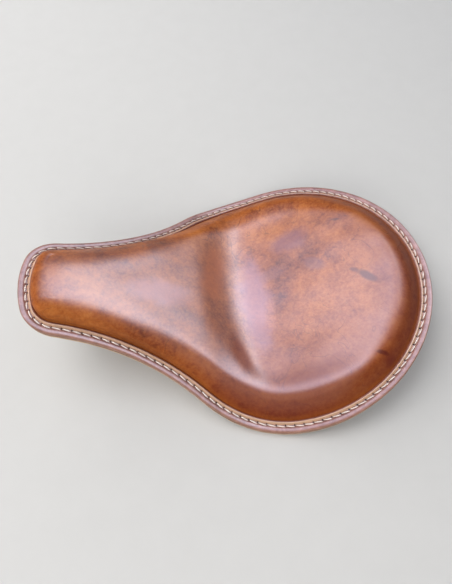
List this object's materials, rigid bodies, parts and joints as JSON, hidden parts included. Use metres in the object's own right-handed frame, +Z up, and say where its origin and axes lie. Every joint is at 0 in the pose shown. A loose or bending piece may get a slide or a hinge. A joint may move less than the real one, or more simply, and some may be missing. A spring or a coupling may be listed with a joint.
{
  "type": "motorcycle solo seat",
  "caption": "Leather solo motorcycle seat with a broad dished rear and narrow nose, saddle-stitched rim, steel pan, rear threaded mounts and a hinged nose tongue.",
  "frame": {"origin": "centre of the plan box, on the level where the dish's lowest leather and the two rear bungs stand", "axes": "-X towards the nose, +X towards the tail, +Z up, symmetric about Y = 0; hinge axis along Y"},
  "size_m": [0.36, 0.263, 0.104],
  "materials": {
    "cover_leather": "waxed, dyed brown",
    "under_leather": "natural flesh side",
    "soft_foam": "open-cell foam",
    "firm_foam": "closed-cell foam",
    "pan_steel": "black coated sheet",
    "waxed_thread": "waxed linen",
    "bung_steel": "turned",
    "bar_steel": "black coated",
    "rivet_steel": "plain",
    "bracket_steel": "black coated",
    "zinc_fasteners": "zinc plated",
    "tongue_steel": "black coated",
    "bush_brass": "sintered bronze"
  },
  "bodies": {
    "seat": {"leather_cover": "cover_leather", "leather_underside": "under_leather", "foam_top": "soft_foam", "foam_base": "firm_foam", "seat_pan": "pan_steel", "rim_stitching": "waxed_thread", "rear_spring_bungs": "bung_steel", "rear_spreader_bar": "bar_steel", "bar_rivets": "rivet_steel", "nose_hinge_bracket": "bracket_steel", "nose_screws": "zinc_fasteners", "nose_washers": "zinc_fasteners", "nose_nuts": "zinc_fasteners", "hinge_bolt": "zinc_fasteners", "hinge_washers": "zinc_fasteners", "hinge_nut": "zinc_fasteners"},
    "tongue": {"hinge_tongue": "tongue_steel", "hinge_bushes": "bush_brass"}
  },
  "joints": [
    {"name": "nose_hinge", "type": "hinge", "parent": "seat", "child": "tongue", "pos_m": [-0.14827, 0, 0.04982], "axis": [0, 1, 0], "range_deg": [-70, 100]}
  ]
}
